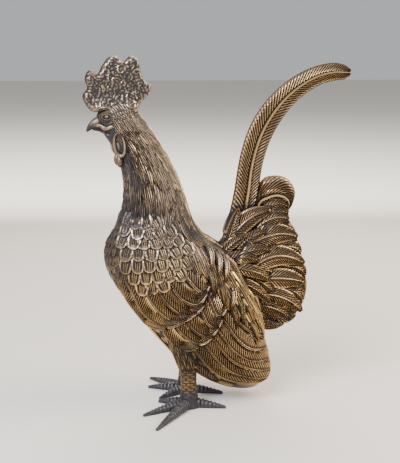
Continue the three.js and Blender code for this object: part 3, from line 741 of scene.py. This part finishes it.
def makeFace(side):
    x, z, y = face["eye"]
    addKnob((x, side * y, z), (face["eyeBall"], 2.6, face["eyeBall"]))
    turn = roundTurns(22)
    for radius, bar in face["lids"]:
        lidY = side * (y + 0.6 - 0.09 * radius * np.abs(np.cos(turn)))
        line = np.stack([x + radius * 1.2 * np.cos(turn), lidY, z + radius * 0.75 * np.sin(turn)], 1)
        addTube(line, np.full(22, bar), around=6, looped=True)
    share = np.linspace(0, 1, 28)
    for line, thick in face["bars"]:
        x, z, y = smoothCurve(line)(share).T
        lumpy = 1 + 0.1 * np.sin(7 * np.pi * share + line[0][0])
        ends = 0.35 + 0.65 * np.sin(np.pi * mix(0.08, 0.92, share))
        addTube(np.stack([x, side * y, z], 1), thick * lumpy * ends, around=8)
    w = face["wattle"]
    (x, z, y), (half, tall) = w["at"], w["size"]
    turn, opened = roundTurns(26), math.radians(w["open"])
    along = half * np.cos(turn)
    ring = np.stack([x + along * math.cos(opened) - 1.2 * np.sin(turn), side * (y + along * math.sin(opened)),
                     z + tall * np.sin(turn)], 1)
    addTube(ring, w["bar"] * (1 - 0.25 * np.sin(turn)), around=8, looped=True)
    addKnob((x + 1.5, side * (y - 2.6), z), (half, 2.2, tall))
    for (x, y, z), size in face["lumps"]:
        addKnob((x, side * y, z), size, down=8, around=10)


# legs and feet: a toe's tip is where it touches the ground
feet = [
    {"side": -1, "centre": (-4, -20), "tips": [(-48, -37), (-42, -72), (-29, -4), (27, -32)]},
    {"side": 1, "centre": (1, 20), "tips": [(-32, 37), (-27, 3), (-26, 62), (33, 6)]},
]
legShape = {
    "profile": [(0, 9.5), (4, 9.0), (10, 8.06), (20, 7.2), (32, 7.5), (42, 8.8), (52, 10.5), (72, 12)],
    "lean": 0.25, "leanFrom": 34,
    # short feathers round the thigh, with the height of each row's roots
    "frill": {"rows": [64, 57, 50], "count": 10, "length": 15, "width": 8.4, "rise": 0.6},
    "scute": 2.3, "scuteDepth": 0.2, "scutesTo": 46, "toe": 4.4, "rib": 3.6, "ribDepth": 0.24,
}


def legMiddle(foot, z):
    x = foot["centre"][0] - legShape["lean"] * np.maximum(0, z - legShape["leanFrom"])
    return x, mix(foot["centre"][1], foot["side"] * 14, np.interp(z, [10, 50], [0, 1]))


def makeLeg(foot):
    s = legShape
    curve = smoothCurve(s["profile"])(np.linspace(0, 1, 400))
    z = np.arange(0, 72, 1.0)[:, None]
    turn = roundTurns(30)
    radius = np.interp(z, curve[:, 0], curve[:, 1])
    cellShift = np.where(np.floor(z / s["scute"]) % 2 == 0, 0, np.pi)
    scutes = np.abs(np.sin(np.pi * z / s["scute"])) ** 0.5 * np.abs(np.cos(3 * turn + cellShift / 2)) ** 0.5
    radius = radius + s["scuteDepth"] * (scutes * 2 - 1.4) * (z < s["scutesTo"])
    x, y = legMiddle(foot, z)
    addShell(np.stack([x + radius * np.cos(turn), y + radius * np.sin(turn), z + 0 * turn], -1))


def makeFrill(foot):
    f = legShape["frill"]
    heights, radii = zip(*legShape["profile"])
    for row, top in enumerate(f["rows"]):
        for i in range(f["count"]):
            angle = 2 * math.pi * (i + 0.5 * (row % 2)) / f["count"]

            def lay(share, offset):
                z = top - share * f["length"]
                radius = np.interp(z, heights, radii)
                turn = angle + offset / radius
                up = np.stack([np.cos(turn), np.sin(turn), 0 * turn], -1)
                return np.stack([*legMiddle(foot, z), z], -1) + up * radius[..., None], up

            addFeather(lay, f["length"], f["width"], leafOutline, groovedLock, rise=f["rise"], root=2, rows=6)


def makeToe(centre, tip):
    s = legShape
    length = math.dist(centre, tip)
    way = np.subtract(tip, centre) / length
    t = np.linspace(0, 1, int(length / 0.8))[:, None]
    turn = roundTurns(14)
    size = s["toe"] * mix(1.15, 0.3, t ** 1.5)
    upward = clamped(np.sin(turn) + 0.55)
    rib = np.abs(np.sin(np.pi * t * length / s["rib"])) ** 0.6
    grown = size * (1 + s["ribDepth"] * (rib * 2 - 1.6) * upward * (t < 0.86))
    flat = centre + way * t * length
    sidewise = grown * np.cos(turn)
    z = size * mix(0.75, 0.9, t) + grown * np.sin(turn)
    addShell(np.stack([flat[:, :1] - way[1] * sidewise, flat[:, 1:] + way[0] * sidewise, z], -1))


makeBody()
makeFanPlate()
makeBlade(sickle)
makeBlade(curl)
makeWeb()
makeComb()
makeBeak()
for side in (-1, 1):
    for make in (makeBreast, makeHackle, makeShoulder, makeWing, makeSaddle, makeFanFeathers, makeFace):
        make(side)
for foot in feet:
    makeLeg(foot)
    makeFrill(foot)
    for tip in foot["tips"]:
        makeToe(foot["centre"], tip)
print("modelled", len(shells), "forms with", sum(len(s[1]) for s in shells), "triangles")


# the casting: all forms joined, cut flat at the ground

def meshObject(name, points, triangles):
    mesh = bpy.data.meshes.new(name)
    mesh.from_pydata(((points - [*drawing["middle"], 0]) * unit).tolist(), [], triangles.tolist())
    return bpy.data.objects.new(name, mesh)


def useModifiers(thing):
    seen = thing.evaluated_get(bpy.context.evaluated_depsgraph_get())
    thing.data = bpy.data.meshes.new_from_object(seen)
    thing.modifiers.clear()


def joinCasting():
    scene = bpy.context.scene.collection
    joined = meshObject("roosterCasting", *shells[0])
    scene.objects.link(joined)
    forms = bpy.data.collections.new("forms")
    scene.children.link(forms)
    for shell in shells[1:]:
        forms.objects.link(meshObject("form", *shell))
    bpy.ops.mesh.primitive_cube_add(size=1, location=(0, 0, -0.05))  # all that is below the ground
    ground = bpy.context.object
    ground.scale = (1, 1, 0.1)
    join = joined.modifiers.new("join", "BOOLEAN")
    join.operation, join.operand_type, join.collection, join.solver = "UNION", "COLLECTION", forms, "MANIFOLD"
    cut = joined.modifiers.new("cut", "BOOLEAN")
    cut.operation, cut.object, cut.solver = "DIFFERENCE", ground, "MANIFOLD"
    useModifiers(joined)
    joined.data.materials.clear()
    for extra in list(forms.objects) + [ground]:
        bpy.data.objects.remove(extra)
    bpy.data.collections.remove(forms)
    return joined


rooster = joinCasting()
print("joined into one casting of", len(rooster.data.polygons), "faces")

casting = {
    "smallestGap": 0.22,  # mm; points closer than this are slivers that joining leaves
    "triangles": 188000,  # it is thinned to this many
    "sharpFrom": 52,  # degrees between two faces that keep their crease
}


def cleanCasting():
    shape = bmesh.new()
    shape.from_mesh(rooster.data)
    gap = casting["smallestGap"] * unit
    bmesh.ops.remove_doubles(shape, verts=shape.verts, dist=gap)
    bmesh.ops.dissolve_degenerate(shape, edges=shape.edges, dist=gap * 0.3)
    bmesh.ops.triangulate(shape, faces=shape.faces)
    for vert in shape.verts:  # nothing stands out of the solid's own box
        vert.co = Vector(np.clip(vert.co, lowCorner, highCorner))
    shape.to_mesh(rooster.data)
    shape.free()
    thin = rooster.modifiers.new("thin", "DECIMATE")
    thin.ratio = casting["triangles"] / len(rooster.data.polygons)
    useModifiers(rooster)
    print("thinned to", len(rooster.data.polygons), "triangles")


cleanCasting()


# wear and painted light: how far each point stands out from what lies round it, which drives the patina, and
# spots that paint shade and highlights on top of it
wearAndPaintedLight = {
    "fine": 0.34, "broad": 1.1,  # mm of relief that count as fully raised
    "broadMost": 0.45, "broadSteps": 14,
    # rims by the middle plane are rubbed less: from x to x, from z up, reach off the plane, how much
    "rims": [(-130, -66, 140, 4, 0.3), (-130, -28, 262, 6.8, 0.45), (0, 160, 160, 3.2, 0.3)],
    # spots in the side view: centre, reach, how much darker they are made, and how much harsher their
    # contrast; partly patina, partly painted shade (the darker throat, breast, front of the neck and legs)
    # and painted highlight (sharper bright lines on the neck, comb, shoulder and tail)
    "spots": [
        ((-64, 290), 34, -0.02, 0.35), ((-82, 250), 18, 0.16, 0), ((-68, 244), 22, 0.12, 0.1),
        ((-61, 222), 14, 0.24, 0), ((-86, 150), 24, 0.26, 0), ((-72, 122), 20, 0.16, 0),
        ((-68, 208), 16, 0.16, 0), ((-64, 180), 16, 0.16, 0), ((48, 38), 44, -0.07, 0),
        ((-50, 156), 24, 0.08, 0.15), ((-30, 135), 30, 0.02, 0.2), ((-2, 22), 26, 0.08, 0),
        ((-8, 46), 22, 0.14, 0), ((-50, 173), 14, 0.14, 0),
        ((38, 20), 16, 0.12, 0), ((6, 65), 12, 0.08, 0), ((19, 81), 12, 0.08, 0), ((-42, 86), 12, 0.1, 0),
        ((-46, 240), 26, 0.02, 0.35), ((-32, 210), 30, 0, 0.35), ((-28, 180), 26, 0, 0.2),
        ((110, 290), 50, 0, 0.2), ((80, 115), 40, 0, 0.1),
    ],
}


def readAll(items, name, width, kind):
    values = np.empty(len(items) * width, kind)
    items.foreach_get(name, values)
    return values.reshape(-1, width)


def paintWearAndPaintedLight(mesh):
    count = len(mesh.vertices)
    points = readAll(mesh.vertices, "co", 3, float) / unit
    normals = readAll(mesh.vertices, "normal", 3, np.float32)
    edges = readAll(mesh.edges, "vertices", 2, np.int32)
    ends, others = edges.T.ravel(), edges[:, ::-1].T.ravel()
    degree = np.maximum(np.bincount(ends, minlength=count), 1)[:, None]

    def smoothed(values):
        return np.stack([np.bincount(ends, values[others, j], count) for j in range(3)], 1) / degree

    fine = dot(points - smoothed(points), normals) / wearAndPaintedLight["fine"]
    wide = points
    for _ in range(wearAndPaintedLight["broadSteps"]):
        wide = 0.4 * wide + 0.6 * smoothed(wide)
    broad = dot(points - wide, normals) / wearAndPaintedLight["broad"]
    relief = clamped(0.3 + 0.46 * np.clip(fine, -1, 1) + 0.22 * np.clip(broad, -1.2, wearAndPaintedLight["broadMost"]))
    x, y, z = (points + [*drawing["middle"], 0]).T
    for low, high, lowest, reach, less in wearAndPaintedLight["rims"]:
        within = clamped(np.minimum(np.minimum(x - low, high - x), z - lowest) / 6)
        relief = relief - less * within * clamped(1 - np.abs(y) / reach)
    # painted shade and painted highlight: each spot darkens its region and sharpens its contrast
    for spot, reach, less, harsher in wearAndPaintedLight["spots"]:
        away = np.hypot(x - spot[0], z - spot[1]) / reach
        within = clamped(2 - 2 * away)
        relief = clamped(relief - less * within + harsher * within * (relief - 0.4))
    layer = mesh.attributes.new("relief", "FLOAT", "POINT")
    layer.data.foreach_set("value", relief.astype(np.float32))


paintWearAndPaintedLight(rooster.data)
rooster.data.shade_smooth()
rooster.data.set_sharp_from_angle(angle=math.radians(casting["sharpFrom"]))


# materials

def linear(hexColour):
    values = [int(hexColour[i:i + 2], 16) / 255 for i in (1, 3, 5)]
    return [v / 12.92 if v <= 0.04045 else ((v + 0.055) / 1.055) ** 2.4 for v in values] + [1.0]


def addNode(tree, kind, settings=None, inputs=None, links=None):
    # one node with its settings, its input values and its links: {input: (node, output)}
    node = tree.nodes.new("ShaderNode" + kind)
    for name, value in (settings or {}).items():
        setattr(node, name, value)
    for name, value in dict(inputs or {}).items():
        node.inputs[name].default_value = value
    for name, (source, output) in (links or {}).items():
        tree.links.new(source.outputs[output], node.inputs[name])
    return node


# Sand-cast bronze, chemically darkened and then rubbed: the hollows stay dark and matt, and the tops are worn
# to a warm gold-brown with a soft shine. Neck, back and feet keep a bluish-grey bloom; faces that point up
# are also paled and blued as a painted sky reflection, and the relief carries painted shade and painted
# highlights from its spots.
bronze = {
    # the bloom colour also tints faces that point up as a painted sky reflection
    "hollow": "#15110e", "flank": "#382d23", "rubbed": "#8a6c42", "bright": "#dcb97e", "bloom": "#5c5d68",
    "coolHeight": (0.1, 0.17),  # m above the ground over which the bloom sets in
    "coolAhead": (0.02, -0.02),  # and along the body, from tail to neck
    "footHeight": (0.018, 0.003), "footDark": 0.46,  # and at the feet, which are darker too
    "patch": 34, "grain": 0.9,  # mm
}


def makeBronze():
    b = bronze
    material = bpy.data.materials.new("sandCastBronzePatinaWithPaintedLight")
    material.use_nodes = True
    tree = material.node_tree
    shader = tree.nodes["Principled BSDF"]
    add, addClamped = {"operation": "ADD"}, {"operation": "ADD", "use_clamp": True}
    ends = ("From Min", "From Max", "To Min", "To Max")

    # how far it is rubbed: the relief, with a slow drift and a fine speckle; its spots add painted shade and
    # painted highlights
    place = addNode(tree, "TexCoord")
    inPlace = {"Vector": (place, "Object")}
    relief = addNode(tree, "Attribute", {"attribute_name": "relief"})
    patches = addNode(tree, "TexNoise", {}, {"Scale": 1000 / b["patch"], "Detail": 3}, inPlace)
    grain = addNode(tree, "TexNoise", {}, {"Scale": 1000 / b["grain"], "Detail": 2}, inPlace)
    drift = addNode(tree, "MapRange", {}, zip(ends, (0.3, 0.7, -0.07, 0.07)), {"Value": (patches, "Fac")})
    speckle = addNode(tree, "MapRange", {}, zip(ends, (0.3, 0.7, -0.1, 0.1)), {"Value": (grain, "Fac")})
    drifted = addNode(tree, "Math", add, {}, {0: (relief, "Fac"), 1: (drift, 0)})
    speckled = addNode(tree, "Math", addClamped, {}, {0: (drifted, 0), 1: (speckle, 0)})

    # where the bloom lies: the upper half and the feet, and what faces up, where the paler, bluer tint is
    # partly bloom and partly a painted sky reflection
    facing = addNode(tree, "NewGeometry")
    normal = addNode(tree, "SeparateXYZ", {}, {}, {"Vector": (facing, "Normal")})
    # painted sky reflection: faces that point up are paled and blued, together with the bloom
    upward = addNode(tree, "MapRange", {}, zip(ends, (0.2, 0.9, 0, 0.3)), {"Value": (normal, "Z")})
    spot = addNode(tree, "SeparateXYZ", {}, {}, inPlace)
    high = addNode(tree, "MapRange", {}, zip(ends, b["coolHeight"]), {"Value": (spot, "Z")})
    ahead = addNode(tree, "MapRange", {}, zip(ends, (*b["coolAhead"], 0.08, 0.42)), {"Value": (spot, "X")})
    highAhead = addNode(tree, "Math", {"operation": "MULTIPLY"}, {}, {0: (high, 0), 1: (ahead, 0)})
    feetOnly = addNode(tree, "MapRange", {}, zip(ends, b["footHeight"]), {"Value": (spot, "Z")})
    bodyBloomAndPaintedSkyTint = addNode(tree, "Math", add, {}, {0: (upward, 0), 1: (highAhead, 0)})
    bloomAndPaintedSkyTint = addNode(tree, "Math", addClamped, {}, {0: (bodyBloomAndPaintedSkyTint, 0), 1: (feetOnly, 0)})

    # feet are rubbed less
    footDark = addNode(tree, "Math", {"operation": "MULTIPLY"}, {1: b["footDark"]}, {0: (feetOnly, 0)})
    worn = addNode(tree, "Math", {"operation": "SUBTRACT", "use_clamp": True}, {},
                   {0: (speckled, 0), 1: (footDark, 0)})

    colours = addNode(tree, "ValToRGB", {}, {}, {"Fac": (worn, 0)})
    ramp = colours.color_ramp
    stops = [(0.12, "hollow"), (0.36, "flank"), (0.64, "rubbed"), (0.88, "bright")]
    while len(ramp.elements) < len(stops):
        ramp.elements.new(0.5)
    for element, (position, name) in zip(ramp.elements, stops):
        element.position = position
        element.color = linear(b[name])
    paler = addNode(tree, "MapRange", {}, {"To Min": 1, "To Max": 0.42}, {"Value": (bloomAndPaintedSkyTint, 0)})
    faded = addNode(tree, "HueSaturation", {}, {}, {"Saturation": (paler, 0), "Color": (colours, "Color")})
    veil = addNode(tree, "MapRange", {}, {"To Min": 0, "To Max": 0.3}, {"Value": (bloomAndPaintedSkyTint, 0)})
    # sockets 6, 7 and output 2 are the mix node's colours
    colour = addNode(tree, "Mix", {"data_type": "RGBA"}, {7: linear(b["bloom"])},
                     {0: (veil, 0), 6: (faded, "Color")})
    metal = addNode(tree, "MapRange", {}, zip(ends, (0.15, 0.7, 0.45, 0.95)), {"Value": (worn, 0)})
    rough = addNode(tree, "MapRange", {}, zip(ends, (0.15, 0.9, 0.6, 0.3)), {"Value": (worn, 0)})
    bump = addNode(tree, "Bump", {}, {"Strength": 0.35, "Distance": 0.0003}, {"Height": (grain, "Fac")})
    tree.links.new(colour.outputs[2], shader.inputs["Base Color"])
    tree.links.new(metal.outputs[0], shader.inputs["Metallic"])
    tree.links.new(rough.outputs[0], shader.inputs["Roughness"])
    tree.links.new(bump.outputs[0], shader.inputs["Normal"])
    return material


rooster.data.materials.append(makeBronze())
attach(rooster, "root")
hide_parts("rooster")
print("patina done")


# floor, light and camera

studio = {
    "floor": "#e6e1d8", "floorSize": 40, "floorRoughness": 0.85,
    "world": "#eef0f2", "worldStrength": 0.58,
    "camera": (-163.8, -818.8, 301), "headingTurn": 12, "lookDown": 9.85,  # mm, in the drawing
    "lens": 73.87, "sensor": 36,
    # place and aim in mm, size in m, watts, colour; the last lights the far floor
    "lamps": [
        ((-700, -700, 900), (0, 0, 150), 0.7, 28, "#f6f6ff"),
        ((900, -200, 700), (0, 0, 150), 0.7, 14, "#fff1dc"),
        ((300, 900, 900), (0, 0, 150), 0.9, 14, "#fff6ea"),
        ((0, 1500, 1500), (600, 6000, 0), 2.5, 130, "#fffaf2"),
    ],
}


def placeAimed(data, place, ahead):
    holder = bpy.data.objects.new(data.name, data)
    holder.location = place
    holder.rotation_euler = Vector(ahead).to_track_quat("-Z", "Y").to_euler()
    bpy.context.scene.collection.objects.link(holder)
    return holder


def makeStudio():
    bpy.ops.mesh.primitive_plane_add(size=studio["floorSize"])
    floor = bpy.context.object
    floor.name = "floor"
    material = bpy.data.materials.new("matPaintedBoard")
    material.use_nodes = True
    shader = material.node_tree.nodes["Principled BSDF"]
    shader.inputs["Base Color"].default_value = linear(studio["floor"])
    shader.inputs["Roughness"].default_value = studio["floorRoughness"]
    floor.data.materials.append(material)
    world = bpy.data.worlds.new("studio")
    world.use_nodes = True
    background = world.node_tree.nodes["Background"]
    background.inputs["Color"].default_value = linear(studio["world"])
    background.inputs["Strength"].default_value = studio["worldStrength"]
    bpy.context.scene.world = world
    for place, aim, size, power, colour in studio["lamps"]:
        lamp = bpy.data.lights.new("softbox", "AREA")
        lamp.size = size
        lamp.energy = power
        lamp.color = linear(colour)[:3]
        placeAimed(lamp, Vector(place) * 0.001, Vector(aim) - Vector(place))


def makeCamera():
    view = bpy.data.cameras.new("photoCamera")
    view.sensor_fit = "VERTICAL"
    view.sensor_height = studio["sensor"]
    view.lens = studio["lens"]
    turn, down = math.radians(studio["headingTurn"]), math.radians(studio["lookDown"])
    ahead = (math.sin(turn) * math.cos(down), math.cos(turn) * math.cos(down), -math.sin(down))
    place = Vector(studio["camera"]) - Vector((*drawing["middle"], 0))
    bpy.context.scene.camera = placeAimed(view, place * unit, ahead)


makeStudio()
makeCamera()
